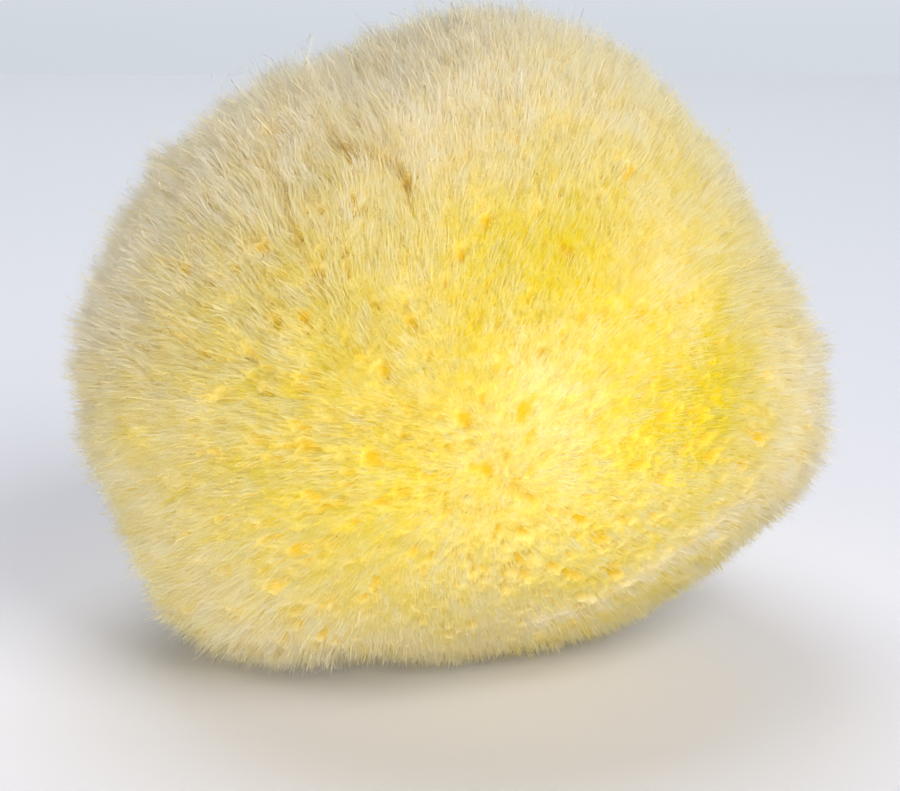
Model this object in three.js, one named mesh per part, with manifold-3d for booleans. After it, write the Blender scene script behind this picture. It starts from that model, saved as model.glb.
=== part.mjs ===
// A natural silk sea sponge: one soft lump, trimmed flat where it stood on the rock.
// Millimetres, +Z up. The origin is the middle of the outer box, on the level of the flat base.

import * as THREE from "three";
import { mergeVertices } from "three/addons/utils/BufferGeometryUtils.js";
import Module from "manifold-3d";

// Half sizes of the plain lump before its lobes, from its centre.
const HALF_WIDTH = 43.5;
const HALF_DEPTH = 42;
const HALF_HEIGHT = 41;

// Height of the lump's centre above the flat cut.
const CENTRE_HEIGHT = 36.5;

// Fineness of the faceted surface: each edge of an icosahedron is split this many times.
const SPLITS = 17;

const BLEACHED_YELLOW = "#eed482";

// Swellings and hollows. Each one points along an azimuth and an elevation in degrees, from
// +X towards +Y and up. It raises the surface there by `height`, a share of the lump's own
// radius, and fades out over about `spread` degrees.
const LOBES = [
  // The crown and the dip that parts it from the left shoulder.
  { azimuth: 60, elevation: 66, height: 0.05, spread: 20 },
  { azimuth: 227, elevation: 72, height: -0.05, spread: 9 },
  { azimuth: 140, elevation: 66, height: -0.09, spread: 13 },
  // Flatter upper sides.
  { azimuth: 150, elevation: 38, height: -0.06, spread: 16 },
  { azimuth: 14, elevation: 26, height: -0.06, spread: 17 },
  // Left cheek and low right shoulder.
  { azimuth: 185, elevation: -10, height: 0.07, spread: 16 },
  { azimuth: -6, elevation: -13, height: 0.13, spread: 14 },
  // The heel that stands on the surface, and the hollow and the notch beside it.
  { azimuth: 197, elevation: -45, height: 0.12, spread: 13 },
  { azimuth: 228, elevation: -48, height: 0.07, spread: 16 },
  { azimuth: 285, elevation: -52, height: -0.06, spread: 16 },
  { azimuth: 243, elevation: -58, height: -0.05, spread: 6 },
  // Gentle relief of the front.
  { azimuth: 235, elevation: 48, height: -0.035, spread: 9 },
  { azimuth: 282, elevation: -10, height: -0.035, spread: 8 },
  { azimuth: 288, elevation: 32, height: -0.03, spread: 13 },
  { azimuth: 285, elevation: 15, height: 0.03, spread: 9 },
  // Knobs and valleys of the back.
  { azimuth: 60, elevation: 5, height: 0.04, spread: 24 },
  { azimuth: 115, elevation: -15, height: 0.05, spread: 20 },
  { azimuth: 90, elevation: 35, height: -0.03, spread: 16 },
  { azimuth: 40, elevation: -25, height: 0.05, spread: 13 },
  { azimuth: 80, elevation: -10, height: -0.06, spread: 10 },
  { azimuth: 140, elevation: 18, height: 0.045, spread: 12 },
  { azimuth: 110, elevation: 14, height: -0.045, spread: 9 },
  { azimuth: 50, elevation: 32, height: 0.04, spread: 10 },
];

// The unit vector along an azimuth and an elevation in degrees.
function direction(azimuth, elevation) {
  const turn = THREE.MathUtils.degToRad(azimuth);
  const lift = THREE.MathUtils.degToRad(elevation);
  return new THREE.Vector3(
    Math.cos(lift) * Math.cos(turn),
    Math.cos(lift) * Math.sin(turn),
    Math.sin(lift),
  );
}

// Distance from the lump's centre to its surface along a unit vector: an ellipsoid's radius,
// times one plus the sum of the lobes. A lobe falls off as a bell over the angle to its axis.
function surfaceRadius(unit) {
  const plain =
    1 / Math.hypot(unit.x / HALF_WIDTH, unit.y / HALF_DEPTH, unit.z / HALF_HEIGHT);
  let share = 1;
  for (const { azimuth, elevation, height, spread } of LOBES) {
    const closeness = unit.dot(direction(azimuth, elevation)) - 1;
    share += height * Math.exp(closeness / THREE.MathUtils.degToRad(spread) ** 2);
  }
  return plain * share;
}

// The whole lump before it is trimmed: a round ball of triangles pushed out to the surface.
function lumpGeometry() {
  const ball = new THREE.IcosahedronGeometry(1, SPLITS);
  const positions = ball.getAttribute("position");
  const point = new THREE.Vector3();
  for (let i = 0; i < positions.count; i++) {
    point.fromBufferAttribute(positions, i).normalize();
    point.multiplyScalar(surfaceRadius(point));
    positions.setXYZ(i, point.x, point.y, point.z + CENTRE_HEIGHT);
  }
  return ball;
}

// A block that holds everything above the base plane, with room to spare round the lump.
function spaceAboveBase() {
  const side = 4 * HALF_WIDTH;
  const block = new THREE.BoxGeometry(side, side, side);
  return block.translate(0, 0, side / 2);
}

// A closed solid from a closed geometry, with its shared corners merged.
function solidFrom(wasm, geometry) {
  geometry.deleteAttribute("normal");
  geometry.deleteAttribute("uv");
  const merged = mergeVertices(geometry, 1e-4);
  const mesh = new wasm.Mesh({
    numProp: 3,
    vertProperties: new Float32Array(merged.getAttribute("position").array),
    triVerts: new Uint32Array(merged.index.array),
  });
  return new wasm.Manifold(mesh);
}

// A geometry with the triangles of a solid.
function geometryFrom(solid) {
  const { vertProperties, triVerts } = solid.getMesh();
  const geometry = new THREE.BufferGeometry();
  geometry.setAttribute("position", new THREE.BufferAttribute(vertProperties, 3));
  geometry.setIndex(new THREE.BufferAttribute(triVerts, 1));
  geometry.computeVertexNormals();
  return geometry;
}

// Moves a geometry so that the middle of its box is over the origin and its base at zero.
function standOnOrigin(geometry) {
  geometry.computeBoundingBox();
  const { min, max } = geometry.boundingBox;
  return geometry.translate(-(min.x + max.x) / 2, -(min.y + max.y) / 2, -min.z);
}

const wasm = await Module();
wasm.setup();

const lump = solidFrom(wasm, lumpGeometry());
const trimmed = lump.intersect(solidFrom(wasm, spaceAboveBase()));

const springyFibre = new THREE.MeshStandardMaterial({
  color: BLEACHED_YELLOW,
  roughness: 0.95,
  metalness: 0,
});

const sponge = new THREE.Mesh(standOnOrigin(geometryFrom(trimmed)), springyFibre);
sponge.name = "sponge";

const object = new THREE.Group();
object.add(sponge);

export default object;
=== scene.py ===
"""A natural silk sea sponge: a soft porous body under a fine nap, on a pale floor in a studio.

The sponge is one grown thing. Its body is a closed surface, and its nap is many thousands of
small closed fibres, kept in a few meshes so that each one stays light enough to export.
"""

from __future__ import annotations

import logging
from dataclasses import dataclass, field
from enum import Enum

import bpy
import numpy as np
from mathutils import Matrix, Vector


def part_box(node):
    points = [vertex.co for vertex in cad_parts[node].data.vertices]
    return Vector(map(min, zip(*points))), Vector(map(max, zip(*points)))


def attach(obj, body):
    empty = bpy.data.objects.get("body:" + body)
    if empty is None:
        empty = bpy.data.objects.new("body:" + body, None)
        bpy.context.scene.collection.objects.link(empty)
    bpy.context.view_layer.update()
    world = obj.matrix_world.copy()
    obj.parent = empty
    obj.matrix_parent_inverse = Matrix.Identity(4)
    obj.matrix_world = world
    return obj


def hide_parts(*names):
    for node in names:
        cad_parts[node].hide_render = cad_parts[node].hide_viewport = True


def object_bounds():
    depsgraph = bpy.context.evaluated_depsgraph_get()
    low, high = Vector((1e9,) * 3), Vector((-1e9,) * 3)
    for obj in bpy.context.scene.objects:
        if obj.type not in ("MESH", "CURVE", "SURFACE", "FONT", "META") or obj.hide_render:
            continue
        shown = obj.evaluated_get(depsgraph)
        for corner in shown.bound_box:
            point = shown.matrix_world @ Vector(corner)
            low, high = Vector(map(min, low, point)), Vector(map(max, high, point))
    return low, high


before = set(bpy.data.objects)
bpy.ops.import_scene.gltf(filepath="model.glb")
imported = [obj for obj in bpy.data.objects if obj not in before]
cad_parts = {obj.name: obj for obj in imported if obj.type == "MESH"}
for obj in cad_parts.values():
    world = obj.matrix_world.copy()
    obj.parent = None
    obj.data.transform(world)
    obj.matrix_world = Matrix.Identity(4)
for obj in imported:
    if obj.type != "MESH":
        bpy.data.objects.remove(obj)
CAD_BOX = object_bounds()

Array = np.ndarray
Color = tuple[float, float, float]
MM = 0.001
BAKE_MAP = "OFBake"

log = logging.getLogger("sponge")


# --------------------------------------------------------------------------------------------
# Vectors as whole arrays


def heading(azimuth: float, elevation: float) -> Array:
    """The unit vector along an azimuth from +X towards +Y and an elevation above the horizon.

    Args:
        azimuth: Degrees from +X towards +Y.
        elevation: Degrees above the horizon.

    Returns:
        The vector's three parts.
    """
    turn, lift = np.radians([azimuth, elevation])
    return np.array([np.cos(lift) * np.cos(turn), np.cos(lift) * np.sin(turn), np.sin(lift)])


def unit(vectors: Array) -> Array:
    """Each row divided by its own length."""
    return vectors / np.linalg.norm(vectors, axis=-1, keepdims=True)


def dot(a: Array, b: Array) -> Array:
    """The dot product of each row of a with that row of b, kept as a column."""
    return np.sum(a * b, axis=-1, keepdims=True)


def across(normals: Array) -> tuple[Array, Array]:
    """Two unit vectors square to each normal and to each other.

    The first is the normal crossed with whichever of +Z and +X lies further from it, and the
    second is the normal crossed with the first.

    Args:
        normals: Unit vectors, one a row.

    Returns:
        The two sets of vectors.
    """
    steep = np.abs(normals[:, 2:3]) > 0.9
    helper = np.where(steep, np.array([[1.0, 0.0, 0.0]]), np.array([[0.0, 0.0, 1.0]]))
    first = unit(np.cross(helper, normals))
    return first, np.cross(normals, first)


# --------------------------------------------------------------------------------------------
# The lump


@dataclass(frozen=True)
class Swell:
    """A rounded swelling, or with a negative height a hollow, of the lump.

    Attributes:
        azimuth: Degrees from +X towards +Y.
        elevation: Degrees above the horizon.
        height: Rise at the middle, as a share of the lump's radius there.
        spread: Degrees over which it fades out.
    """

    azimuth: float
    elevation: float
    height: float
    spread: float

    def rise(self, directions: Array) -> Array:
        """The height times a bell curve over the angle between each direction and the axis."""
        closeness = directions @ heading(self.azimuth, self.elevation) - 1.0
        return self.height * np.exp(closeness / np.radians(self.spread) ** 2)


@dataclass(frozen=True)
class Crease:
    """A parting in the nap, along a straight line between two directions.

    Attributes:
        start: Azimuth and elevation of one end, in degrees.
        end: Azimuth and elevation of the other end, in degrees.
        depth: Depth along its middle, in metres.
        width: Half width at a third of that depth, in degrees.
    """

    start: tuple[float, float]
    end: tuple[float, float]
    depth: float
    width: float

    def share(self, directions: Array) -> Array:
        """One on the crease's line, falling off as a bell curve over the distance from it.

        Args:
            directions: Unit vectors from the middle.

        Returns:
            The crease's share along each direction.
        """
        a, b = heading(*self.start), heading(*self.end)
        along = np.clip((directions - a) @ (b - a) / ((b - a) @ (b - a)), 0.0, 1.0)
        nearest = a + along[:, None] * (b - a)
        distance = np.linalg.norm(directions - nearest, axis=1)
        return np.exp(-((distance / np.radians(self.width)) ** 2))


@dataclass(frozen=True)
class Whorl:
    """A crown in the nap: fibres round it are combed away from its middle.

    Attributes:
        azimuth: Degrees from +X towards +Y.
        elevation: Degrees above the horizon.
        strength: Greatest lean, as a share of a fibre's length; negative combs towards it.
        spread: Degrees from the middle at which the lean is greatest.
    """

    azimuth: float
    elevation: float
    strength: float
    spread: float

    def lean(self, directions: Array) -> Array:
        """The vector from the middle times a bell curve over its length, scaled to peak once."""
        away = (directions - heading(self.azimuth, self.elevation)) / np.radians(self.spread)
        return self.strength * away * np.exp(0.5 - 0.5 * dot(away, away))


@dataclass(frozen=True)
class Comb:
    """The way the nap is combed: away from whorls, and unsettled by slow random waves.

    Attributes:
        whorls: The crowns.
        drift: Lean of each slow wave, as a share of a fibre's length.
        paces: Mean radians per unit of direction of each wave.
    """

    whorls: tuple[Whorl, ...] = (
        Whorl(282, -10, 0.60, 9),
        Whorl(282, -10, 0.55, 32),
        Whorl(263, -12, 0.40, 25),
        Whorl(285, 20, -0.20, 9),
    )
    drift: float = 0.08
    paces: tuple[float, ...] = (4.0, 6.0, 9.0, 13.0, 19.0, 27.0, 40.0)

    def lean(self, directions: Array) -> Array:
        """The lean along the surface: the whorls' leans and the waves' leans, summed.

        Each wave is the sine of the direction times a random vector, along another random
        vector. What points off the surface is taken away.

        Args:
            directions: Unit vectors from the middle.

        Returns:
            Vectors along the surface, as a share of a fibre's length.
        """
        total = sum(whorl.lean(directions) for whorl in self.whorls)
        rng = np.random.default_rng(COMB_SEED)
        for pace in self.paces:
            wave, turn = rng.normal(0.0, pace, 3), rng.uniform(0.0, 2 * np.pi)
            total += np.sin(directions @ wave + turn)[:, None] * rng.normal(0.0, self.drift, 3)
        return total - dot(total, directions) * directions


def sponge_swells() -> tuple[Swell, ...]:
    """The lump's swellings and hollows, the same as the solid's.

    Returns:
        The swells, part by part of the sponge.
    """
    crown = (Swell(60, 66, 0.05, 20), Swell(227, 72, -0.05, 9), Swell(140, 66, -0.09, 13))
    upper_sides = (Swell(150, 38, -0.06, 16), Swell(14, 26, -0.06, 17))
    shoulders = (Swell(185, -10, 0.07, 16), Swell(-6, -13, 0.13, 14))
    heel = (
        Swell(197, -45, 0.12, 13),
        Swell(228, -48, 0.07, 16),
        Swell(285, -52, -0.06, 16),
        Swell(243, -58, -0.05, 6),
    )
    front = (
        Swell(235, 48, -0.035, 9),
        Swell(282, -10, -0.035, 8),
        Swell(288, 32, -0.03, 13),
        Swell(285, 15, 0.03, 9),
    )
    back = (
        Swell(60, 5, 0.04, 24),
        Swell(115, -15, 0.05, 20),
        Swell(90, 35, -0.03, 16),
        Swell(40, -25, 0.05, 13),
        Swell(80, -10, -0.06, 10),
        Swell(140, 18, 0.045, 12),
        Swell(110, 14, -0.045, 9),
        Swell(50, 32, 0.04, 10),
    )
    return crown + upper_sides + shoulders + heel + front + back


@dataclass(frozen=True)
class Lump:
    """The outer shape that the tips of the nap reach: an ellipsoid with swells, cut off flat.

    Attributes:
        half_width: Half size along X before the swells, in metres.
        half_depth: Half size along Y before the swells.
        half_height: Half size along Z before the swells.
        centre_height: Height of the middle above the flat base.
        base_sharpness: Power of the soft minimum that cuts the base: higher is sharper.
        swells: The swellings and hollows.
    """

    half_width: float = 43.5 * MM
    half_depth: float = 42.0 * MM
    half_height: float = 41.0 * MM
    centre_height: float = 36.5 * MM
    base_sharpness: float = 40.0
    swells: tuple[Swell, ...] = field(default_factory=sponge_swells)

    def whole_radius(self, directions: Array) -> Array:
        """Distance to the surface before the base is cut, along each unit vector.

        The radius of the ellipsoid times one plus the sum of the swells.

        Args:
            directions: Unit vectors from the middle, one a row.

        Returns:
            The distances, in metres.
        """
        sizes = np.array([self.half_width, self.half_depth, self.half_height])
        plain = 1.0 / np.linalg.norm(directions / sizes, axis=1)
        return plain * (1.0 + sum(swell.rise(directions) for swell in self.swells))

    def radius(self, directions: Array, depth: Array | float = 0.0) -> Array:
        """Distance to the cut surface along each unit vector.

        The soft minimum of the whole lump's radius, less the depth, and the distance to the
        base plane. The soft minimum is the root of the sum of inverse powers.

        Args:
            directions: Unit vectors from the middle, one a row.
            depth: How far to stay under the nap's tips, in metres.

        Returns:
            The distances, in metres.
        """
        grown = self.whole_radius(directions) - depth
        fall = np.maximum(-directions[:, 2], 1e-3)
        to_base = self.centre_height / fall
        power = self.base_sharpness
        return grown * (1.0 + (grown / to_base) ** power) ** (-1.0 / power)

    def centre(self) -> Array:
        """The middle of the lump in the frame, found from the solid's own box.

        The lump is worked out on a coarse grid of directions, and the middle of its box is put
        over the middle of the solid's box, with the base on the box's floor.

        Returns:
            The place of the middle, in metres.
        """
        directions = grid_directions(90, 180).reshape(-1, 3)
        points = directions * self.radius(directions)[:, None]
        low, high = (np.array(corner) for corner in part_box("sponge"))
        middle = (low + high) / 2 - (points.min(axis=0) + points.max(axis=0)) / 2
        return np.array([middle[0], middle[1], low[2] + self.centre_height])


def grid_directions(rows: int, columns: int) -> Array:
    """Unit vectors on a grid of latitude and longitude, from the top pole to the bottom one.

    Each vector is (sin t cos p, sin t sin p, cos t), with t from zero to pi down the rows and
    p once round along the columns.

    Args:
        rows: Number of rows, both poles among them.
        columns: Number of columns.

    Returns:
        An array of rows by columns by three.
    """
    polar = np.linspace(0.0, np.pi, rows)[:, None]
    turn = np.linspace(0.0, 2 * np.pi, columns, endpoint=False)[None, :]
    x = np.sin(polar) * np.cos(turn)
    y = np.sin(polar) * np.sin(turn)
    z = np.cos(polar) * np.ones_like(turn)
    return np.stack([x, y, z], axis=-1)


# --------------------------------------------------------------------------------------------
# Cells: the irregular pattern that tufts and pores follow


SMALL_LEAN = 0.05
LATTICE_PRIMES = (73856093, 19349663, 83492791)
SEED_STRIDE, SALT_STRIDE = 6364136, 1013904
MIXERS = ((15, 0x2C1B3C6D), (12, 0x297A2D39))
LAST_SHIFT = 15
WHOLE_WORD, LOW_BITS = 0xFFFFFFFF, 0xFFFFFF
PLACE_SALTS, TAG_SALT = (1, 2, 3), 4
TOO_FAR = 9.0
TUFT_SEED, CLUMP_SEED, COMB_SEED, NAP_SEED = 5, 31, 9, 71


@dataclass(frozen=True)
class Cells:
    """Random points, one in each cube of a lattice, and the nearest of them to any place.

    Attributes:
        size: Side of a lattice cube, in metres.
        seed: Picks one pattern out of many.
    """

    size: float
    seed: int

    def _chance(self, cubes: Array, salt: int) -> Array:
        """A number from 0 to 1 for each cube: its three whole numbers multiplied and mixed.

        Args:
            cubes: Three whole numbers for each cube.
            salt: Picks one number out of several.

        Returns:
            The numbers, one a cube.
        """
        first, second, third = LATTICE_PRIMES
        mixed = cubes[..., 0] * first ^ cubes[..., 1] * second ^ cubes[..., 2] * third
        mixed = (mixed + self.seed * SEED_STRIDE + salt * SALT_STRIDE) & WHOLE_WORD
        for shift, factor in MIXERS:
            mixed = ((mixed ^ (mixed >> shift)) * factor) & WHOLE_WORD
        return ((mixed ^ (mixed >> LAST_SHIFT)) & LOW_BITS) / float(LOW_BITS + 1)

    def nearest(self, points: Array) -> tuple[Array, Array, Array]:
        """The nearest random point to each place.

        The cube that holds the place and the 26 round it are tried in turn, and the nearest
        random point is kept.

        Args:
            points: Places, one a row.

        Returns:
            The distance to the nearest point as a share of the cube's side, that point, and a
            random number that belongs to it.
        """
        scaled = points / self.size
        home = np.floor(scaled).astype(np.int64)
        best = np.full(len(points), TOO_FAR)
        place = np.zeros_like(scaled)
        tag = np.zeros(len(points))
        steps = np.stack(np.meshgrid([-1, 0, 1], [-1, 0, 1], [-1, 0, 1]), axis=-1)
        for step in steps.reshape(-1, 3):
            cube = home + step
            inside = np.stack([self._chance(cube, salt) for salt in PLACE_SALTS], axis=-1)
            candidate = cube + inside
            distance = np.linalg.norm(candidate - scaled, axis=1)
            closer = distance < best
            best = np.where(closer, distance, best)
            place = np.where(closer[:, None], candidate, place)
            tag = np.where(closer, self._chance(cube, TAG_SALT), tag)
        return best, place * self.size, tag


def soft_step(values: Array, low: float, high: float) -> Array:
    """Zero up to low, one from high on, and an S-shaped curve between."""
    share = np.clip((values - low) / (high - low), 0.0, 1.0)
    return share * share * (3.0 - 2.0 * share)


# --------------------------------------------------------------------------------------------
# The sponge's skin: what both the body and the nap follow


@dataclass(frozen=True)
class Pores:
    """One family of pores: soft spots round random points, drawn out along the comb.

    Attributes:
        spacing: Spacing of the random points, in metres.
        seed: Picks the points.
        strength: Depth of the deepest pore, as a share of the skin's.
        stretch: How much longer than wide a pore is.
        least: Radius of the smallest pore, as a share of the spacing.
        extra: How much more the largest pore has.
        rim: Shares of the radius between which a pore's edge rises.
        rare: Chance numbers between which a pore appears where none crowd.
        common: How far those chance numbers fall where pores crowd most.
    """

    spacing: float
    seed: int
    strength: float
    stretch: float = 1.9
    least: float = 0.12
    extra: float = 0.15
    rim: tuple[float, float] = (0.7, 1.5)
    rare: tuple[float, float] = (0.80, 0.95)
    common: float = 0.9

    def share(self, places: Array, grain: Array, crowd: Array) -> Array:
        """How much of a pore of this family there is at each place.

        The offset from the nearest random point is shortened along the grain, and the pore is
        a soft step over its length.

        Args:
            places: Places on a ball, in metres.
            grain: The comb's direction at each place.
            crowd: How crowded pores are at each place.

        Returns:
            The share of a pore, from none to the strength.
        """
        _, middle, tag = Cells(self.spacing, self.seed).nearest(places)
        offset = (places - middle) / self.spacing
        offset -= (1.0 - 1.0 / self.stretch) * dot(offset, grain) * grain
        distance = np.linalg.norm(offset, axis=1)
        reach = self.least + self.extra * tag
        low, high = self.rim
        spot = 1.0 - soft_step(distance, low * reach, high * reach)
        first, last = self.rare
        fall = self.common * crowd
        return spot * (self.strength * soft_step(tag, first - fall, last - fall))


@dataclass(frozen=True)
class Skin:
    """The surface under the nap, with its partings, tufts and pores, and its colour fields.

    Attributes:
        lump: The outer shape.
        cropped: Thickness of the nap over the skin where it is shortest, in metres.
        shaggy: Thickness of the nap where it is longest.
        tuft: Spacing of the tufts.
        tuft_rise: How far the skin rises under a tuft.
        clump: Spacing of the clumps that the long nap mats into.
        clump_rise: How far the nap and skin rise in the middle of a clump.
        families: The large pores and the small ones.
        pore_depth: Depth of the deepest pores.
        parting_shade: How much of the painted hollow shade a parting's groove shows.
        creases: The partings.
        lips: Raised ridges, painted paler, with a depth that counts upwards.
        lip_paling: How much paler the lips are painted.
    """

    lump: Lump
    comb: Comb = Comb()
    cropped: float = 0.8 * MM
    shaggy: float = 2.8 * MM
    tuft: float = 1.9 * MM
    tuft_rise: float = 0.15 * MM
    clump: float = 7.0 * MM
    clump_rise: float = 1.8 * MM
    families: tuple[Pores, ...] = (Pores(2.9 * MM, 11, 1.0), Pores(1.74 * MM, 23, 0.8))
    pore_depth: float = 0.7 * MM
    # Share of painted shade that the partings' grooves take.
    parting_shade: float = 0.4
    # The partings are real grooves; the deeper colour they take is painted shade, and the last one
    # is a painted shadow line under the lips.
    creases: tuple[Crease, ...] = (
        Crease((234, 53), (244, 49), 0.7 * MM, 1.3),
        Crease((244, 49), (254, 47), 1.1 * MM, 1.9),
        Crease((254, 47), (261, 43), 1.1 * MM, 1.4),
        Crease((261, 43), (263, 37), 0.9 * MM, 0.9),
        Crease((230, 40), (241, 31), 0.5 * MM, 0.8),
        Crease((241, 31), (249, 22), 0.5 * MM, 0.8),
        Crease((219, 48), (226, 58), 0.7 * MM, 1.0),
        Crease((208, 15), (217, 11), 0.6 * MM, 0.9),
        Crease((211, 8), (220, 3), 0.6 * MM, 0.9),
        Crease((281.4, -9.6), (282.6, -10.6), 1.2 * MM, 1.2),
        Crease((279, -2), (281.4, -8), 0.5 * MM, 0.6),
        Crease((243, -50), (252, -51), 1.6 * MM, 2.0),
        Crease((295, -46), (319, -31), 0.5 * MM, 1.2),
    )
    lips: tuple[Crease, ...] = (
        Crease((292, -42), (312, -28.3), 0.7 * MM, 2.2),
        Crease((316, -26), (330, -19), 0.5 * MM, 2.2),
    )
    lip_paling: float = 0.45

    def pores(self, directions: Array) -> Array:
        """How much of a pore there is along each direction, from none to one.

        The deepest of the families counts. The comb's lean, brought close to unit length, is
        the grain that they are drawn out along.

        Args:
            directions: Unit vectors from the middle.

        Returns:
            The share of a pore.
        """
        places = directions * self.lump.half_width
        crowd = self.crowding(directions)
        grain = self.comb.lean(directions)
        grain /= np.linalg.norm(grain, axis=1, keepdims=True) + SMALL_LEAN
        return np.max([family.share(places, grain, crowd) for family in self.families], axis=0)

    def pit_shade(self, pores: Array, partings: Array) -> Array:
        """How much painted shade shows in the hollows: the pores and a part of the partings, up to
        one.
        """
        return np.clip(pores + self.parting_shade * partings, 0, 1)

    def crowding(self, directions: Array) -> Array:
        """Where pores crowd: bells low on the front, over the right cheek and on the back.

        Args:
            directions: Unit vectors from the middle.

        Returns:
            The share of crowding, from none to one.
        """
        bells = (
            Swell(256, -16, 0.80, 23),
            Swell(262, -20, 0.40, 12),
            Swell(312, -6, 0.40, 13),
            Swell(300, -30, 0.30, 14),
            Swell(80, -5, 0.22, 35),
        )
        return np.clip(0.01 + sum(bell.rise(directions) for bell in bells), 0.0, 1.0)

    def partings(self, directions: Array) -> Array:
        """The summed share of all the creases along each direction."""
        return sum(crease.share(directions) for crease in self.creases)

    def shag(self, directions: Array) -> Array:
        """How long the nap is, from cropped at zero to shaggy at one.

        Wide bells over the left cheek, the crown, the back and the right side are shaggy, and
        bells low on the front and over the right cheek are cropped.

        Args:
            directions: Unit vectors from the middle.

        Returns:
            The share of shag.
        """
        bells = (
            Swell(172, 34, 0.60, 36),
            Swell(100, 75, 0.25, 34),
            Swell(90, 0, 0.20, 50),
            Swell(212, -35, 0.25, 20),
            Swell(295, -42, -0.32, 26),
            Swell(300, 0, -0.20, 18),
            Swell(0, 10, 0.22, 24),
        )
        return np.clip(0.38 + sum(bell.rise(directions) for bell in bells), 0.0, 1.0)

    def thickness(self, directions: Array) -> Array:
        """Thickness of the nap over the skin, in metres: from cropped to shaggy by the shag."""
        return self.cropped + (self.shaggy - self.cropped) * self.shag(directions)

    def clumps(self, directions: Array) -> Array:
        """Rise of the clumps: domes round random points, taller where shaggy.

        Args:
            directions: Unit vectors from the middle.

        Returns:
            Rises in metres.
        """
        distance, _, tag = Cells(self.clump, CLUMP_SEED).nearest(directions * self.lump.half_width)
        dome = 1.0 - soft_step(distance, 0.0, 0.85)
        return self.clump_rise * self.shag(directions) * (dome * (0.5 + tag) - 0.5)

    def depth(self, directions: Array) -> Array:
        """Depth of the skin under the tips of the nap.

        The nap's thickness, less the rise of the clumps, tufts and lips, plus the creases and
        pores.

        Args:
            directions: Unit vectors from the middle.

        Returns:
            Depths in metres.
        """
        places = directions * self.lump.half_width
        distance, _, _ = Cells(self.tuft, TUFT_SEED).nearest(places)
        deep = self.thickness(directions) - self.clumps(directions)
        deep = deep - self.tuft_rise * (1.0 - soft_step(distance, 0.0, 0.7))
        for crease in self.creases:
            deep = deep + crease.depth * crease.share(directions)
        for lip in self.lips:
            deep = deep - lip.depth * lip.share(directions)
        return deep + self.pore_depth * self.pores(directions)

    def normals(self, directions: Array) -> Array:
        """The smooth lump's outward normals.

        The direction less the slope of the radius across it, from two small steps.

        Args:
            directions: Unit vectors from the middle.

        Returns:
            Unit normals.
        """
        step = 2e-3
        first, second = across(directions)
        here = self.lump.radius(directions, self.cropped)
        slope = np.zeros_like(directions)
        for side in (first, second):
            there = self.lump.radius(unit(directions + step * side), self.cropped)
            slope += ((there - here) / (step * here))[:, None] * side
        return unit(directions - slope)

    def bleach(self, directions: Array) -> Array:
        """How bleached the fibre is, from lemon at zero to cream at one.

        Bells over the left cheek, the crown, the right side, the back and the lower edge are
        bleached, and the lips are painted paler. Bells over the two lemon patches and the left
        of the front are not.

        Args:
            directions: Unit vectors from the middle.

        Returns:
            The share of cream.
        """
        cream = (
            Swell(170, 30, 0.95, 34),
            Swell(90, 75, 0.65, 30),
            Swell(5, 10, 0.35, 22),
            Swell(60, 0, 0.35, 45),
            Swell(285, 14, 0.22, 8),
            Swell(271, 48, 0.30, 14),
            Swell(350, -16, 0.35, 14),
            Swell(222, -50, 0.35, 18),
            Swell(272, -54, 0.25, 20),
        )
        lemon = (
            Swell(287, 30, -0.45, 12),
            Swell(316, 0, -0.40, 11),
            Swell(250, -5, -0.22, 24),
        )
        total = 0.28 + sum(bell.rise(directions) for bell in cream + lemon)
        total = total + self.lip_paling * sum(lip.share(directions) for lip in self.lips)
        return np.clip(total, 0.0, 1.0)


# --------------------------------------------------------------------------------------------
# Meshes


def make_object(
    name: str,
    points: Array,
    triangles: Array,
    values: dict[str, Array],
    bake_map: Array | None = None,
    normals: Array | None = None,
) -> bpy.types.Object:
    """A mesh object in the scene from whole arrays.

    Args:
        name: The object's name.
        points: Places, one a row, in metres.
        triangles: Three point numbers a row, turning anticlockwise from outside.
        values: Attributes by name, one number a point.
        bake_map: Two numbers for each corner of each triangle, or None.
        normals: Shading normals, one a point, or None for the mesh's own.

    Returns:
        The new object, at the origin.
    """
    mesh = bpy.data.meshes.new(name)
    mesh.vertices.add(len(points))
    mesh.vertices.foreach_set("co", points.astype(np.float32).ravel())
    mesh.loops.add(triangles.size)
    mesh.loops.foreach_set("vertex_index", triangles.astype(np.int32).ravel())
    mesh.polygons.add(len(triangles))
    mesh.polygons.foreach_set("loop_start", np.arange(0, triangles.size, 3, dtype=np.int32))
    mesh.update(calc_edges=True)
    mesh.polygons.foreach_set("use_smooth", np.ones(len(triangles), bool))
    for title, numbers in values.items():
        attribute = mesh.attributes.new(title, "FLOAT", "POINT")
        attribute.data.foreach_set("value", numbers.astype(np.float32).ravel())
    if bake_map is not None:
        layer = mesh.uv_layers.new(name=BAKE_MAP)
        layer.uv.foreach_set("vector", bake_map.astype(np.float32).ravel())
    mesh.validate()
    if normals is not None:
        mesh.normals_split_custom_set_from_vertices(normals)
    piece = bpy.data.objects.new(name, mesh)
    bpy.context.scene.collection.objects.link(piece)
    return piece


# --------------------------------------------------------------------------------------------
# Finishes


FIELDS = ("Along", "Bleach", "Pit_shade", "Tone")


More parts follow.
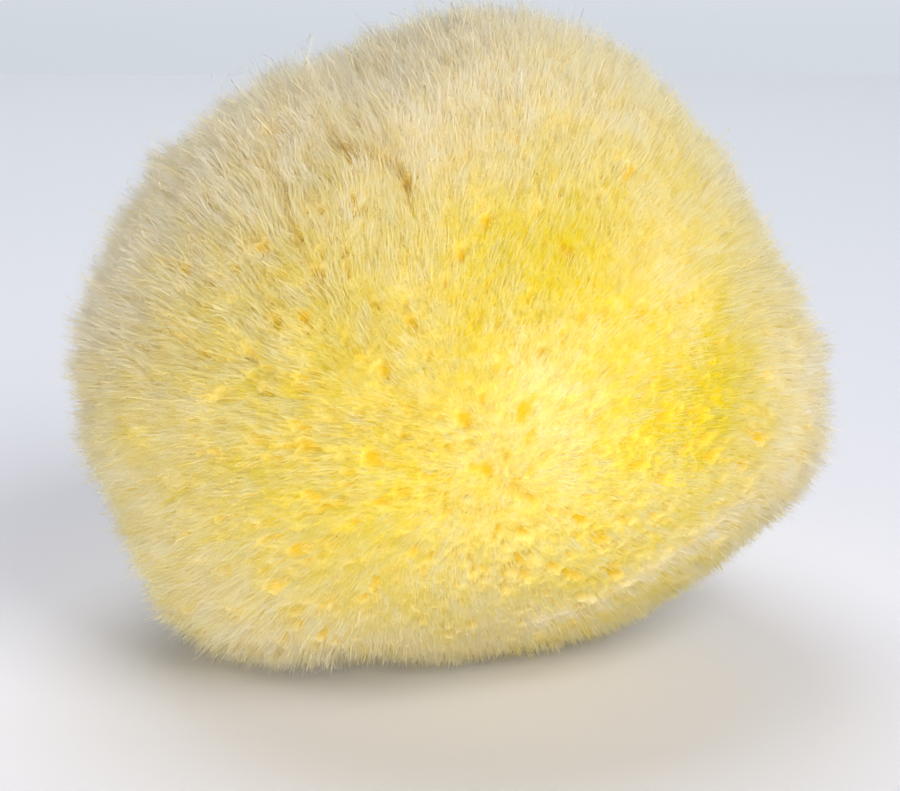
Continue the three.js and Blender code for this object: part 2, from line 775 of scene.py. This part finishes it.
@dataclass(frozen=True)
class Fibre:
    """The sponge's fibre as colours along it, from the deep root to the bleached tip.

    Attributes:
        pit_shade: Deeper colour painted at the bottom of a pore or a parting as its shade.
        root: Colour at a fibre's root, deeper and more saturated: partly the fibre's own colour
            and partly painted shade among the fibres.
        tip: Colour at its tip.
        cream_root: Root colour where the sponge is bleached.
        cream_tip: Tip colour where the sponge is bleached.
        mottle_pace: Waves a metre of the slow mottle.
        mottle: How far the mottle shifts the bleach, from one end to the other.
        fleck_pace: Waves a metre of the fine fleck.
        fleck: How far the fleck shifts the place along the fibre.
        tone: How far a fibre's own tone shifts both.
    """

    pit_shade: Color = (0.85, 0.55, 0.02)
    root: Color = (0.89, 0.68, 0.008)
    tip: Color = (0.90, 0.79, 0.20)
    cream_root: Color = (0.97, 0.81, 0.48)
    cream_tip: Color = (0.99, 0.94, 0.78)
    mottle_pace: float = 90.0
    mottle: float = 0.5
    fleck_pace: float = 700.0
    fleck: float = 1.6
    tone: float = 0.5

    def tint(self) -> bpy.types.NodeTree:
        """The group that turns the sponge's fields into its colour.

        Lemon and cream colours run from root to tip, the bleach share picks between them, and
        the share of painted hollow shade takes the result towards its deeper colour. The mottle
        and the fibre's tone shift the bleach, and the fleck and the tone shift the place along
        the fibre.

        Returns:
            The group, with inputs Along, Bleach, Pit_shade, Tone and Place, and output Color.
        """
        group = bpy.data.node_groups.new("sponge_tint", "ShaderNodeTree")
        new = group.interface.new_socket
        for name in FIELDS:
            new(name, in_out="INPUT", socket_type="NodeSocketFloat")
        new("Place", in_out="INPUT", socket_type="NodeSocketVector")
        new("Color", in_out="OUTPUT", socket_type="NodeSocketColor")
        sketch = NodeSketch(group)
        inputs = sketch.add("NodeGroupInput").outputs
        mottle = sketch.sway(sketch.noise(inputs["Place"], self.mottle_pace, 3.0), self.mottle)
        fleck = sketch.sway(sketch.noise(inputs["Place"], self.fleck_pace, 3.0), self.fleck)
        tone = sketch.sway(inputs["Tone"], self.tone)
        bleach = sketch.clamped_sum(inputs["Bleach"], mottle, tone)
        along = sketch.clamped_sum(inputs["Along"], fleck, tone)
        lemon = sketch.mix(along, self.root, self.tip)
        cream = sketch.mix(along, self.cream_root, self.cream_tip)
        dyed = sketch.mix(bleach, lemon, cream)
        # Painted shade: pores and partings take the deeper colour.
        pit_shaded = sketch.mix(inputs["Pit_shade"], dyed, self.pit_shade)
        sketch.feed(sketch.add("NodeGroupOutput").inputs["Color"], pit_shaded)
        return group


class NodeSketch:
    """A few short ways of placing shader nodes in one tree."""

    def __init__(self, tree: bpy.types.NodeTree) -> None:
        """Keeps the tree."""
        self.tree = tree
        self.placed = 0

    def add(self, kind: str, **settings: object) -> bpy.types.Node:
        """Places a node and sets its properties.

        Args:
            kind: The node's type.
            **settings: Properties by name.

        Returns:
            The node.
        """
        node = self.tree.nodes.new(kind)
        node.location = (200 * (self.placed % 8), -260 * (self.placed // 8))
        self.placed += 1
        for name, value in settings.items():
            setattr(node, name, value)
        return node

    def feed(self, socket: bpy.types.NodeSocket, value: object) -> None:
        """Links a socket to another one, or sets it to a number or a colour.

        Args:
            socket: The input to feed.
            value: A socket, a number or a colour of three numbers.
        """
        if isinstance(value, bpy.types.NodeSocket):
            self.tree.links.new(value, socket)
        elif isinstance(value, tuple):
            socket.default_value = (*value, 1.0)
        else:
            socket.default_value = value

    def attribute(self, name: str) -> bpy.types.NodeSocket:
        """The numbers of one of the mesh's attributes."""
        return self.add("ShaderNodeAttribute", attribute_name=name).outputs["Fac"]

    def math(self, operation: str, *values: object) -> bpy.types.NodeSocket:
        """The result of a Math node on one to three values.

        Args:
            operation: The node's operation.
            *values: Sockets or numbers, in the node's order.

        Returns:
            The node's output.
        """
        node = self.add("ShaderNodeMath", operation=operation)
        for socket, value in zip(node.inputs, values):
            self.feed(socket, value)
        return node.outputs["Value"]

    def mix(self, share: object, first: object, second: object) -> bpy.types.NodeSocket:
        """A colour between two colours.

        Args:
            share: Zero for the first colour, one for the second.
            first: A socket or a colour.
            second: Another.

        Returns:
            The mixed colour.
        """
        node = self.add("ShaderNodeMix", data_type="RGBA")
        self.feed(node.inputs["Factor"], share)
        self.feed(node.inputs["A"], first)
        self.feed(node.inputs["B"], second)
        return node.outputs["Result"]

    def sway(self, value: object, reach: float) -> bpy.types.NodeSocket:
        """A value from 0 to 1 spread over the reach, with its middle moved to nothing."""
        return self.math("MULTIPLY_ADD", value, reach, -0.5 * reach)

    def clamped_sum(self, first: object, second: object, third: object) -> bpy.types.NodeSocket:
        """The sum of three values, kept between 0 and 1.

        Args:
            first: A socket or a number.
            second: Another.
            third: And another.

        Returns:
            The clamped sum.
        """
        node = self.add("ShaderNodeClamp")
        total = self.math("ADD", self.math("ADD", first, second), third)
        self.feed(node.inputs["Value"], total)
        return node.outputs["Result"]

    def noise(
        self, place: bpy.types.NodeSocket, scale: float, detail: float
    ) -> bpy.types.NodeSocket:
        """The height of a noise texture read at a place.

        Args:
            place: Where it is read, in metres.
            scale: Waves a metre.
            detail: Number of finer layers.

        Returns:
            The height, from 0 to 1.
        """
        node = self.add("ShaderNodeTexNoise")
        self.feed(node.inputs["Vector"], place)
        self.feed(node.inputs["Scale"], scale)
        self.feed(node.inputs["Detail"], detail)
        return node.outputs["Fac"]


@dataclass(frozen=True)
class Finish:
    """A matt fibre material: the tint group's colour under a fine speck.

    Attributes:
        name: The material's name.
        grain: Height of the bump, in metres.
        bump: Strength of the bump.
        speck_pace: Waves a metre of the speck in the bump and the roughness.
        smoothest: Roughness where the speck is lowest.
        speck_roughness: How much rougher it is where the speck is highest.
        shine: Specular level.
    """

    name: str
    grain: float
    bump: float = 0.6
    speck_pace: float = 2200.0
    smoothest: float = 0.75
    speck_roughness: float = 0.2
    shine: float = 0.15

    def material(self, tint: bpy.types.NodeTree) -> bpy.types.Material:
        """Makes the material.

        The mesh's attributes and its object coordinates feed the tint group, which feeds the
        base colour. A noise on object coordinates feeds the roughness and the bump.

        Args:
            tint: The tint group.

        Returns:
            The material.
        """
        material = bpy.data.materials.new(self.name)
        material.use_nodes = True
        material.node_tree.nodes.clear()
        sketch = NodeSketch(material.node_tree)
        place = sketch.add("ShaderNodeTexCoord").outputs["Object"]
        dye = sketch.add("ShaderNodeGroup", node_tree=tint)
        for title in FIELDS:
            sketch.feed(dye.inputs[title], sketch.attribute(title.lower()))
        sketch.feed(dye.inputs["Place"], place)
        speck = sketch.noise(place, self.speck_pace, 2.0)
        rough = sketch.math("MULTIPLY_ADD", speck, self.speck_roughness, self.smoothest)
        bump = sketch.add("ShaderNodeBump")
        sketch.feed(bump.inputs["Strength"], self.bump)
        sketch.feed(bump.inputs["Distance"], self.grain)
        sketch.feed(bump.inputs["Height"], speck)
        shader = sketch.add("ShaderNodeBsdfPrincipled")
        sketch.feed(shader.inputs["Base Color"], dye.outputs["Color"])
        sketch.feed(shader.inputs["Roughness"], rough)
        sketch.feed(shader.inputs["Normal"], bump.outputs["Normal"])
        sketch.feed(shader.inputs["Specular IOR Level"], self.shine)
        output = sketch.add("ShaderNodeOutputMaterial")
        sketch.feed(output.inputs["Surface"], shader.outputs["BSDF"])
        return material


# --------------------------------------------------------------------------------------------
# The body


@dataclass(frozen=True)
class Body:
    """The sponge's body: one closed surface under the nap, open to view in pores and partings.

    Attributes:
        skin: The surface to follow.
        rows: Rows of the grid, both poles among them.
        columns: Columns of the grid.
        along: Place along a fibre whose colour the body has, from root to tip.
    """

    skin: Skin
    rows: int = 220
    columns: int = 440
    along: float = 0.15

    def build(self) -> bpy.types.Object:
        """Builds the closed surface.

        A grid of latitude and longitude is pushed out to the cut lump's radius less the
        skin's depth. One point closes each pole, and the last column joins the first.

        Returns:
            The new piece.
        """
        lump = self.skin.lump
        directions = grid_directions(self.rows, self.columns)[1:-1].reshape(-1, 3)
        directions = np.vstack([directions, [[0.0, 0.0, 1.0]], [[0.0, 0.0, -1.0]]])
        radius = lump.radius(directions, self.skin.depth(directions))
        points = lump.centre() + directions * radius[:, None]
        points[:, 2] = np.maximum(points[:, 2], 0.0)
        values = {
            "along": np.full(len(points), self.along),
            "bleach": self.skin.bleach(directions),
            # Painted shade in the pores and partings.
            "pit_shade": self.skin.pit_shade(self.skin.pores(directions), self.skin.partings(directions)),
            "tone": np.full(len(points), 0.5),
        }
        return make_object("body", points, self.triangles(), values)

    def triangles(self) -> Array:
        """Two triangles for each square of the grid, and a fan round each pole.

        Returns:
            Three point numbers a row, turning anticlockwise from outside.
        """
        rings = self.rows - 2
        number = np.arange(rings * self.columns).reshape(rings, self.columns)
        right = np.roll(number, -1, axis=1)
        a, b = number[:-1], right[:-1]
        c, d = number[1:], right[1:]
        upper = np.stack([a, c, b], axis=-1).reshape(-1, 3)
        lower = np.stack([b, c, d], axis=-1).reshape(-1, 3)
        top = np.full(self.columns, rings * self.columns)
        top_fan = np.stack([top, number[0], right[0]], axis=-1)
        bottom_fan = np.stack([top + 1, right[-1], number[-1]], axis=-1)
        return np.vstack([upper, lower, top_fan, bottom_fan])

    def dress(self, piece: bpy.types.Object, material: bpy.types.Material) -> None:
        """Gives the body its material and puts it in place of the solid.

        Args:
            piece: The body's object.
            material: Its finish.
        """
        piece.data.materials.append(material)
        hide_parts("sponge")
        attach(piece, "root")


# --------------------------------------------------------------------------------------------
# The nap


class Coat(Enum):
    """The two layers of the nap."""

    UNDERCOAT = "undercoat"
    TUFTS = "tufts"


@dataclass(frozen=True)
class Cut:
    """How one layer's fibres are made.

    Attributes:
        pieces: Number of meshes that share the layer.
        fibres: Fibres in each mesh.
        rings: Rings of three points along a fibre before its tip.
        length: Mean length, as a share of the nap's thickness there and the sunk root.
        thickness: Thickness at the root in metres.
        gather: How far a fibre leans to its tuft's tip, from not at all to one.
        stray: Random lean, as a share of the length.
        droop: Sideways bow, as a share of the length.
        roundness: How much a fibre is shaded as a rod of its own, against as plain surface.
    """

    pieces: int
    fibres: int
    rings: int
    length: float
    thickness: float
    gather: float
    stray: float
    droop: float
    roundness: float


CUTS = {
    Coat.UNDERCOAT: Cut(3, 49_000, 1, 1.20, 0.105 * MM, 0.40, 0.20, 0.0, 0.35),
    Coat.TUFTS: Cut(2, 19_900, 2, 1.30, 0.08 * MM, 0.50, 0.22, 0.4, 0.60),
}


STEEPEST, NO_CHANCE = 0.3, 1e-9
PARTING_MOUTH, PORE_LEAN = 0.3, 0.5
TUFT_TURNS = 997.0
THREE_WAYS = 1.7


@dataclass(frozen=True)
class Plot:
    """Where one mesh of fibres grows, and what the skin says there. Each has one row a fibre.

    Attributes:
        directions: Unit vectors from the middle.
        feet: Places of the roots, in metres.
        normals: The smooth lump's outward normals.
        shag: The share of shag.
        pores: The share of a pore.
        partings: The summed share of the creases.
        tufts: Directions of the tufts that the fibres belong to.
        spread: Distance to the tuft's middle, as a share of the tufts' spacing.
        tag: A random number that belongs to the tuft.
    """

    directions: Array
    feet: Array
    normals: Array
    shag: Array
    pores: Array
    partings: Array
    tufts: Array
    spread: Array
    tag: Array


@dataclass(frozen=True)
class Nap:
    """The fine fibres that cover the sponge all over except its cut base.

    Attributes:
        skin: The surface they grow from.
        sink: How far a root reaches under the skin, in metres.
        sides: Points round a fibre.
        part_lean: Lean away from a parting or a pore, in radians of its slope.
        bare: Share of a pore or a parting from which nothing grows.
        tuft_lean: Lean of a whole tuft away from the comb, as a share of a fibre's length.
        spare_roots: Roots tried for each one kept.
        hem: Height above the base under which nothing grows, in metres.
        lengths: Least and greatest length of a fibre, against its neighbours'.
        tuft_lengths: Length in the middle of a tuft, its fall to the edge, and the difference
            between tufts.
        least_curl: Random lean where the nap is cropped, as a share of that where shaggy.
        taper: How much of its thickness a fibre has lost at its tip's foot.
        stoutness: Least and greatest thickness of a fibre, against the layer's.
        floor: Least height of a fibre's points above the base, in metres.
        tuft_tone: How much of a fibre's tone is its tuft's, the rest being its own.
    """

    skin: Skin
    sink: float = 0.25 * MM
    sides: int = 3
    part_lean: float = 0.006
    bare: float = 0.45
    tuft_lean: float = 0.25
    spare_roots: float = 2.6
    hem: float = 0.6 * MM
    lengths: tuple[float, float] = (0.68, 1.32)
    tuft_lengths: tuple[float, float, float] = (1.10, 0.25, 0.16)
    least_curl: float = 0.4
    taper: float = 0.55
    stoutness: tuple[float, float] = (0.7, 1.25)
    floor: float = 0.05 * MM
    tuft_tone: float = 0.6

    def roots(self, count: int, rng: np.random.Generator) -> Array:
        """Directions of evenly spread roots.

        A golden-angle spiral of points on a ball is jostled by half its spacing. Points are
        dropped by chance so that the lump's surface, and not the ball's, is evenly covered,
        and all those on the cut base are dropped.

        Args:
            count: Roots wanted.
            rng: The source of chance.

        Returns:
            Unit vectors, one a row.
        """
        tries = int(count * self.spare_roots)
        turn = np.arange(tries) * np.pi * (3.0 - np.sqrt(5.0))
        height = 1.0 - 2.0 * (np.arange(tries) + 0.5) / tries
        flat = np.sqrt(1.0 - height**2)
        directions = np.stack([flat * np.cos(turn), flat * np.sin(turn), height], axis=-1)
        spacing = np.sqrt(4.0 * np.pi / tries)
        directions = unit(directions + rng.normal(0.0, 0.5 * spacing, directions.shape))
        radius = self.skin.lump.radius(directions, self.skin.cropped)
        normals = self.skin.normals(directions)
        area = radius**2 / np.maximum(dot(directions, normals)[:, 0], STEEPEST)
        low = self.skin.lump.centre_height + directions[:, 2] * radius
        mouth = self.skin.pores(directions) + PARTING_MOUTH * self.skin.partings(directions)
        keep_chance = area / area.max() * (low > self.hem) * (mouth < self.bare)
        order = np.argsort(rng.random(tries) / np.maximum(keep_chance, NO_CHANCE))
        return directions[np.sort(order[:count])]

    def combed(self, directions: Array) -> Array:
        """The lean of the nap: the comb's, less the slope of the openings.

        Args:
            directions: Unit vectors from the middle.

        Returns:
            Vectors along the surface, as a share of a fibre's length.
        """
        step = 4e-3
        total = self.skin.comb.lean(directions)
        here = self.openings(directions)
        for side in across(directions):
            there = self.openings(unit(directions + step * side))
            total -= ((there - here) / step * self.part_lean)[:, None] * side
        return total

    def openings(self, directions: Array) -> Array:
        """The partings and the pores together, which the nap leans away from."""
        return self.skin.partings(directions) + PORE_LEAN * self.skin.pores(directions)

    def feet(self, directions: Array) -> Array:
        """Places of the roots along each direction, sunk under the skin.

        Args:
            directions: Unit vectors from the middle.

        Returns:
            Places in metres.
        """
        lump = self.skin.lump
        depth = self.skin.depth(directions) + self.sink
        return lump.centre() + directions * lump.radius(directions, depth)[:, None]

    def survey(self, directions: Array) -> Plot:
        """Reads the skin at each root and finds its tuft.

        Args:
            directions: Unit vectors from the middle.

        Returns:
            The plot.
        """
        skin = self.skin
        places = directions * skin.lump.half_width
        spread, tuft_place, tag = Cells(skin.tuft, TUFT_SEED).nearest(places)
        return Plot(
            directions=directions,
            feet=self.feet(directions),
            normals=skin.normals(directions),
            shag=skin.shag(directions),
            pores=skin.pores(directions),
            partings=skin.partings(directions),
            tufts=unit(tuft_place),
            spread=spread,
            tag=tag,
        )

    def full_lengths(self, cut: Cut, plot: Plot, rng: np.random.Generator) -> Array:
        """Lengths of the fibres.

        The layer's share of the nap's thickness and the sunk root, times a random number, and
        times one that falls from the middle of a tuft to its edge and differs between tufts.

        Args:
            cut: How the layer's fibres are made.
            plot: Where they grow.
            rng: The source of chance.

        Returns:
            The lengths, in metres.
        """
        middle, fall, chance = self.tuft_lengths
        length = cut.length * (self.skin.thickness(plot.directions) + self.sink)
        length *= rng.uniform(*self.lengths, len(length)) * (
            middle - fall * plot.spread + chance * (plot.tag - 0.5)
        )
        return length

    def tuft_tips(self, plot: Plot, length: Array) -> Array:
        """Where the tips of the tufts lie, for fibres of those lengths.

        A tuft's tip stands off its root along the combed normal there, plus the tuft's own
        lean, which points one random way along the surface.

        Args:
            plot: Where the fibres grow.
            length: Their lengths, in metres.

        Returns:
            Places, one a fibre.
        """
        grown = unit(self.skin.normals(plot.tufts) + self.combed(plot.tufts))
        first, second = across(plot.tufts)
        turn = plot.tag[:, None] * TUFT_TURNS
        lean = self.tuft_lean * (np.cos(turn) * first + np.sin(turn) * second)
        return self.feet(plot.tufts) + (grown + lean) * length[:, None]

    def sections(self, way: Array, rng: np.random.Generator) -> Array:
        """Unit vectors square to each fibre's way, to the points round it.

        The points stand evenly round a circle that is turned at random for each fibre.

        Args:
            way: Unit vectors from root to tip.
            rng: The source of chance.

        Returns:
            An array of fibres by sides by three.
        """
        first, second = across(way)
        turn = rng.random(len(way))[:, None] * 2.0 * np.pi
        turn = turn + np.arange(self.sides)[None, :] * 2.0 * np.pi / self.sides
        return (
            np.cos(turn)[:, :, None] * first[:, None]
            + np.sin(turn)[:, :, None] * second[:, None]
        )

    def grow(self, coat: Coat, index: int) -> bpy.types.Object:
        """Grows one mesh of fibres.

        A fibre's middle line runs from its root along the combed normal, gathered towards the
        tip of its tuft, and bows sideways by 4 s (1 - s), where s is the share of the way
        along. Its thickness shrinks to nothing at the tip.

        Args:
            coat: The layer.
            index: Which of the layer's meshes.

        Returns:
            The new piece.
        """
        cut = CUTS[coat]
        rng = np.random.default_rng([NAP_SEED, list(Coat).index(coat), index])
        plot = self.survey(self.roots(cut.fibres, rng))
        count = len(plot.directions)
        length = self.full_lengths(cut, plot, rng)
        grown = unit(plot.normals + self.combed(plot.directions))
        tip = plot.feet + grown * length[:, None]
        gather = cut.gather * plot.shag * (1.0 - np.clip(plot.pores + plot.partings, 0.0, 1.0))
        tip += gather[:, None] * (self.tuft_tips(plot, length) - tip)
        curl = ((self.least_curl + plot.shag) * length)[:, None]
        tip += rng.normal(0.0, cut.stray / THREE_WAYS, (count, 3)) * curl
        bow = rng.normal(0.0, cut.droop / THREE_WAYS, (count, 3)) * curl
        along = np.linspace(0.0, 1.0, cut.rings + 1)
        line = (
            plot.feet[:, None]
            + (tip - plot.feet)[:, None] * along[None, :, None]
            + bow[:, None] * (along * (1.0 - along))[None, :, None] * 4.0
        )
        ring = self.sections(unit(tip - plot.feet), rng)
        half = 0.5 * cut.thickness * (1.0 - self.taper * along[:-1])
        half = half[None, :] * rng.uniform(*self.stoutness, (count, 1))
        rings = line[:, :-1, None] + ring[:, None] * half[:, :, None, None]
        points = np.concatenate([rings.reshape(count, -1, 3), line[:, -1:]], axis=1)
        points[..., 2] = np.maximum(points[..., 2], self.floor)
        share = np.concatenate([np.repeat(along[:-1], self.sides), [1.0]])
        pattern = self.fibre_triangles(cut.rings)
        triangles = pattern[None] + (np.arange(count) * len(share))[:, None, None]
        outward = np.concatenate(
            [np.repeat(ring[:, None], cut.rings, axis=1).reshape(count, -1, 3), grown[:, None]],
            axis=1,
        )
        shading = cut.roundness * outward + (1.0 - cut.roundness) * plot.normals[:, None]
        return make_object(
            f"{coat.value}_{index + 1}",
            points.reshape(-1, 3),
            triangles.reshape(-1, 3),
            self.fields(plot, share, rng),
            self.bake_cells(pattern, share, count),
            unit(shading).reshape(-1, 3),
        )

    def fields(self, plot: Plot, share: Array, rng: np.random.Generator) -> dict[str, Array]:
        """The attributes that the finish reads, one number for each point of each fibre.

        Args:
            plot: Where the fibres grow.
            share: Place along a fibre of each of its points.
            rng: The source of chance.

        Returns:
            The numbers by attribute name.
        """
        count, each = len(plot.tag), len(share)
        pit_shade = self.skin.pit_shade(plot.pores, plot.partings)
        tone = self.tuft_tone * plot.tag + (1.0 - self.tuft_tone) * rng.random(count)
        return {
            "along": np.tile(share, count),
            "bleach": np.repeat(self.skin.bleach(plot.directions), each),
            # Painted shade of a pore or parting, on a fibre's lower part and fading towards its
            # tip.
            "pit_shade": (pit_shade[:, None] * (1.0 - share)).ravel(),
            "tone": np.repeat(tone, each),
        }

    def fibre_triangles(self, rings: int) -> Array:
        """The triangles of one closed fibre: its root, its sides and the fan at its tip.

        Args:
            rings: Number of rings of points from the root up, without the tip.

        Returns:
            Three point numbers a row, turning anticlockwise from outside.
        """
        ring = np.arange(self.sides)
        after = np.roll(ring, -1)
        parts = [np.array([[0, 2, 1]])]
        for level in range(rings - 1):
            low, high = level * self.sides, (level + 1) * self.sides
            parts.append(np.stack([ring + low, after + low, after + high], axis=-1))
            parts.append(np.stack([ring + low, after + high, ring + high], axis=-1))
        low = (rings - 1) * self.sides
        tip = np.full(self.sides, rings * self.sides)
        parts.append(np.stack([ring + low, after + low, tip], axis=-1))
        return np.vstack(parts)

    def bake_cells(self, pattern: Array, share: Array, count: int) -> Array:
        """A flat map that gives each fibre a small square of its own.

        Across the square a point lies by its place round the fibre, and up the square by its
        place along it.

        Args:
            pattern: One fibre's triangles.
            share: Place along the fibre of each of its points.
            count: Number of fibres.

        Returns:
            Two numbers for each corner of each triangle.
        """
        columns = int(np.ceil(np.sqrt(count)))
        margin, cap = 0.12, 0.1
        rings = (len(share) - 1) // self.sides
        around = np.concatenate([np.tile([margin, 1.0 - margin, 0.5], rings), [0.5]])
        upward = margin + (1.0 - 2.0 * margin) * share
        cell = np.stack([around, upward], axis=-1)[pattern]
        cell[0, :, 1] += np.array([0.0, cap, cap])
        corner = np.stack([np.arange(count) % columns, np.arange(count) // columns], axis=-1)
        return ((cell[None] + corner[:, None, None]) / columns).reshape(-1, 2)

    def dress(self, piece: bpy.types.Object, material: bpy.types.Material) -> None:
        """Gives a nap mesh its material and lets it ride on the sponge.

        Args:
            piece: The nap's object.
            material: Its finish.
        """
        piece.data.materials.append(material)
        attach(piece, "root")


# --------------------------------------------------------------------------------------------
# The studio


@dataclass(frozen=True)
class Paint:
    """A pale matt paint with a faint mottle and a glow of its own, painted lighter and warmer near
    the front and darker and cooler at the back as painted light.

    Attributes:
        name: The material's name.
        glow: Strength of its own cool light.
        warm: The two colours that the mottle runs between near the front.
        cool: The two colours at the back.
        glow_color: Colour of its own light.
        fade: Y in metres at which the warm colours start to fade, and at which they are gone.
        mottle_pace: Waves a metre of the mottle.
        roughness: How matt it is.
        shine: Specular level.
    """

    name: str
    glow: float
    warm: tuple[Color, Color] = ((0.83, 0.825, 0.905), (0.85, 0.845, 0.925))
    cool: tuple[Color, Color] = ((0.70, 0.725, 0.79), (0.72, 0.745, 0.81))
    glow_color: Color = (0.85, 0.92, 1.0)
    fade: tuple[float, float] = (-0.12, 0.30)
    mottle_pace: float = 6.0
    roughness: float = 0.6
    shine: float = 0.2

    def material(self) -> bpy.types.Material:
        """Makes the material, with its colours laid out by object coordinates.

        Returns:
            The material.
        """
        material = bpy.data.materials.new(self.name)
        material.use_nodes = True
        shader = material.node_tree.nodes["Principled BSDF"]
        sketch = NodeSketch(material.node_tree)
        place = sketch.add("ShaderNodeTexCoord").outputs["Object"]
        cloud = sketch.noise(place, self.mottle_pace, 2.0)
        split = sketch.add("ShaderNodeSeparateXYZ")
        sketch.feed(split.inputs["Vector"], place)
        fade = sketch.add("ShaderNodeMapRange", interpolation_type="SMOOTHSTEP")
        sketch.feed(fade.inputs["Value"], split.outputs["Y"])
        sketch.feed(fade.inputs["From Min"], self.fade[0])
        sketch.feed(fade.inputs["From Max"], self.fade[1])
        warm = sketch.mix(cloud, *self.warm)
        cool = sketch.mix(cloud, *self.cool)
        color = sketch.mix(fade.outputs["Result"], warm, cool)
        sketch.feed(shader.inputs["Base Color"], color)
        sketch.feed(shader.inputs["Roughness"], self.roughness)
        sketch.feed(shader.inputs["Specular IOR Level"], self.shine)
        sketch.feed(shader.inputs["Emission Color"], self.glow_color)
        sketch.feed(shader.inputs["Emission Strength"], self.glow)
        return material


@dataclass(frozen=True)
class Lamp:
    """One rectangular soft light that faces the sponge.

    Attributes:
        name: The light's name.
        place: Where it hangs, in metres.
        size: Its width and height.
        power: Watts.
        color: Its colour.
    """

    name: str
    place: tuple[float, float, float]
    size: tuple[float, float]
    power: float
    color: Color

    def hang(self, look_point: Vector) -> None:
        """Makes the light and turns it to the point.

        Args:
            look_point: The middle of what it lights, in metres.
        """
        data = bpy.data.lights.new(self.name, "AREA")
        data.shape = "RECTANGLE"
        data.size, data.size_y = self.size
        data.energy = self.power
        data.color = self.color
        lamp = bpy.data.objects.new(self.name, data)
        lamp.location = self.place
        toward = look_point - Vector(self.place)
        lamp.rotation_euler = toward.to_track_quat("-Z", "Y").to_euler()
        bpy.context.scene.collection.objects.link(lamp)


LAMPS = (
    Lamp("window", (0.95, -0.95, 1.15), (1.0, 1.0), 18.6, (1.0, 0.99, 0.965)),
    Lamp("low_front", (0.10, -0.58, 0.06), (1.0, 0.12), 2.0, (1.0, 0.97, 0.92)),
    Lamp("low_left", (-0.50, -0.42, 0.06), (0.6, 0.12), 1.55, (1.0, 0.985, 0.96)),
    Lamp("overhead", (-0.10, 0.30, 0.70), (0.5, 0.5), 2.7, (1.0, 0.99, 0.97)),
)


@dataclass(frozen=True)
class Studio:
    """A pale floor and backdrop, a faint sky, soft lights and the camera.

    Attributes:
        camera_elevation: The camera's height as an angle, in degrees.
        camera_distance: From the camera to what it looks at, in metres.
        lens: Focal length in millimetres.
        sight: What the camera looks at, as a share of the sponge's box from its low corner.
        half: Half the floor's width, how far it comes forward, and the backdrop's height.
        floor_back: How far the floor goes back.
        floor_drop: How far the floor lies under the sponge.
        wall_back: How far back the backdrop stands.
        wall_drop: How far the backdrop reaches down past the floor.
        sky: Colour of the sky.
        sky_strength: Strength of its light.
    """

    camera_elevation: float = 16.0
    camera_distance: float = 0.314
    lens: float = 100.0
    sight: tuple[float, float, float] = (0.4957, 0.495, 0.384)
    half: float = 1.5
    floor_back: float = 0.46
    floor_drop: float = 0.02 * MM
    wall_back: float = 1.2
    wall_drop: float = 0.5
    sky: Color = (0.95, 0.97, 1.0)
    sky_strength: float = 0.05

    def look_point(self) -> Vector:
        """The point at the middle of the view."""
        low, high = CAD_BOX
        return Vector(a + (b - a) * share for a, b, share in zip(low, high, self.sight))

    def camera(self) -> None:
        """Makes the camera and looks through it."""
        lift = np.radians(self.camera_elevation)
        back = Vector((0.0, -np.cos(lift), np.sin(lift)))
        data = bpy.data.cameras.new("camera")
        data.lens = self.lens
        data.clip_start = 0.01
        camera = bpy.data.objects.new("camera", data)
        camera.location = self.look_point() + back * self.camera_distance
        camera.rotation_euler = (-back).to_track_quat("-Z", "Y").to_euler()
        bpy.context.scene.collection.objects.link(camera)
        bpy.context.scene.camera = camera

    def sheet(self, name: str, corners: list[tuple[float, float, float]], paint: Paint) -> None:
        """Makes a painted sheet that belongs to the stage.

        Args:
            name: The sheet's name.
            corners: Its four corners, anticlockwise as seen from the front.
            paint: Its paint.
        """
        sheet = make_object(name, np.array(corners), np.array([[0, 1, 2], [0, 2, 3]]), {})
        sheet.data.materials.append(paint.material())

    def floor(self) -> None:
        """Makes the floor, just under the sponge, and the backdrop behind it."""
        half, back, low = self.half, self.floor_back, -self.floor_drop
        corners = [(-half, -half, low), (half, -half, low), (half, back, low), (-half, back, low)]
        self.sheet("floor", corners, Paint("floor_paint", 0.06))
        back, low = self.wall_back, -self.wall_drop
        corners = [(-half, back, low), (half, back, low), (half, back, half), (-half, back, half)]
        self.sheet("backdrop", corners, Paint("backdrop_paint", 0.53))

    def light(self) -> None:
        """Makes the sky and the lamps: a window high in front on the right, and soft fills."""
        world = bpy.data.worlds.new("sky")
        world.use_nodes = True
        background = world.node_tree.nodes["Background"]
        background.inputs["Color"].default_value = (*self.sky, 1.0)
        background.inputs["Strength"].default_value = self.sky_strength
        bpy.context.scene.world = world
        for lamp in LAMPS:
            lamp.hang(self.look_point())
        bpy.context.scene.view_settings.view_transform = "Standard"


# --------------------------------------------------------------------------------------------


def main() -> None:
    """Builds the studio, the body and the nap, and reports each piece."""
    logging.basicConfig(level=logging.INFO, format="%(name)s: %(message)s")
    studio = Studio()
    studio.camera()
    studio.floor()
    studio.light()

    tint = Fibre().tint()
    flesh = Finish("sponge_body", 0.4 * MM).material(tint)
    floss = Finish("sponge_nap", 0.02 * MM).material(tint)

    skin = Skin(Lump())
    body = Body(skin)
    piece = body.build()
    body.dress(piece, flesh)
    log.info("%s: %d triangles", piece.name, len(piece.data.polygons))

    nap = Nap(skin)
    for coat, cut in CUTS.items():
        for index in range(cut.pieces):
            piece = nap.grow(coat, index)
            nap.dress(piece, floss)
            log.info("%s: %d triangles", piece.name, len(piece.data.polygons))


if __name__ == "__main__":
    main()
